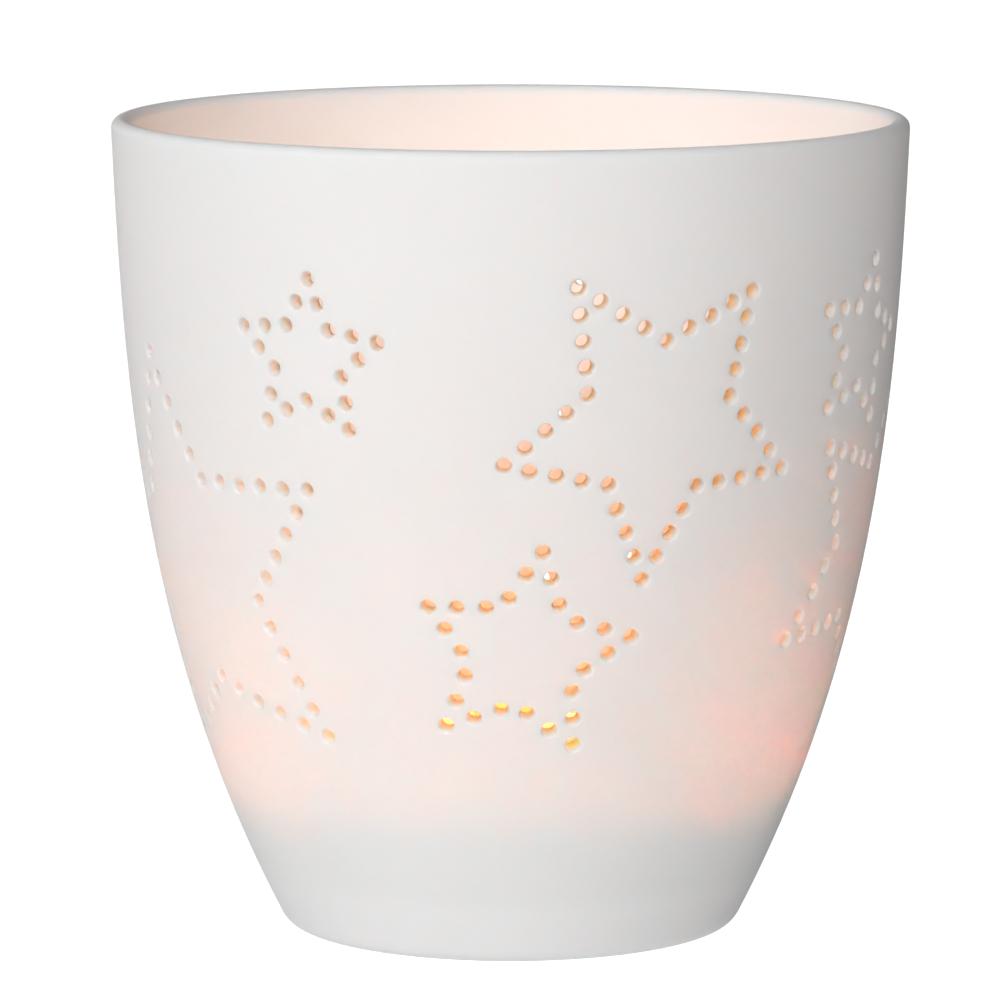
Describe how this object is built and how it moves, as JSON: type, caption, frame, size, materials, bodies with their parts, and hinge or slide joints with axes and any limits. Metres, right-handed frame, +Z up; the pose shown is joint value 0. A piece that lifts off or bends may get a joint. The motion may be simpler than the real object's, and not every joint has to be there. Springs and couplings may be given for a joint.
{
  "type": "tealight holder",
  "caption": "White bisque porcelain tumbler for a tealight, flaring from a narrow foot, its wall pierced with small round holes that outline five-pointed stars; a tealight stands inside.",
  "frame": {"origin": "middle of the foot, on the surface the cup stands on", "axes": "+Z up along the cup's axis, -Y towards the front, +X to the right seen from the front"},
  "size_m": [0.09, 0.09, 0.092],
  "materials": {
    "porcelain": "unglazed bisque porcelain, smooth and matte, translucent when lit from inside",
    "can_foil": "thin drawn aluminium, satin",
    "wax": "white paraffin wax, melted and glossy on top",
    "wick": "braided cotton, charred at the tip",
    "tinplate": "thin pressed tinplate"
  },
  "bodies": {
    "holder": {"porcelain_cup": "porcelain"},
    "tealight": {"tealight_can": "can_foil"},
    "candle": {"wax": "wax", "wick": "wick", "wick_tab": "tinplate"}
  },
  "joints": [
    {"name": "tealight_lift", "type": "slide", "parent": "holder", "child": "tealight", "axis": [0, 0, 1], "range_m": [0, 0.1]},
    {"name": "candle_lift", "type": "slide", "parent": "tealight", "child": "candle", "axis": [0, 0, 1], "range_m": [0, 0.025]}
  ]
}
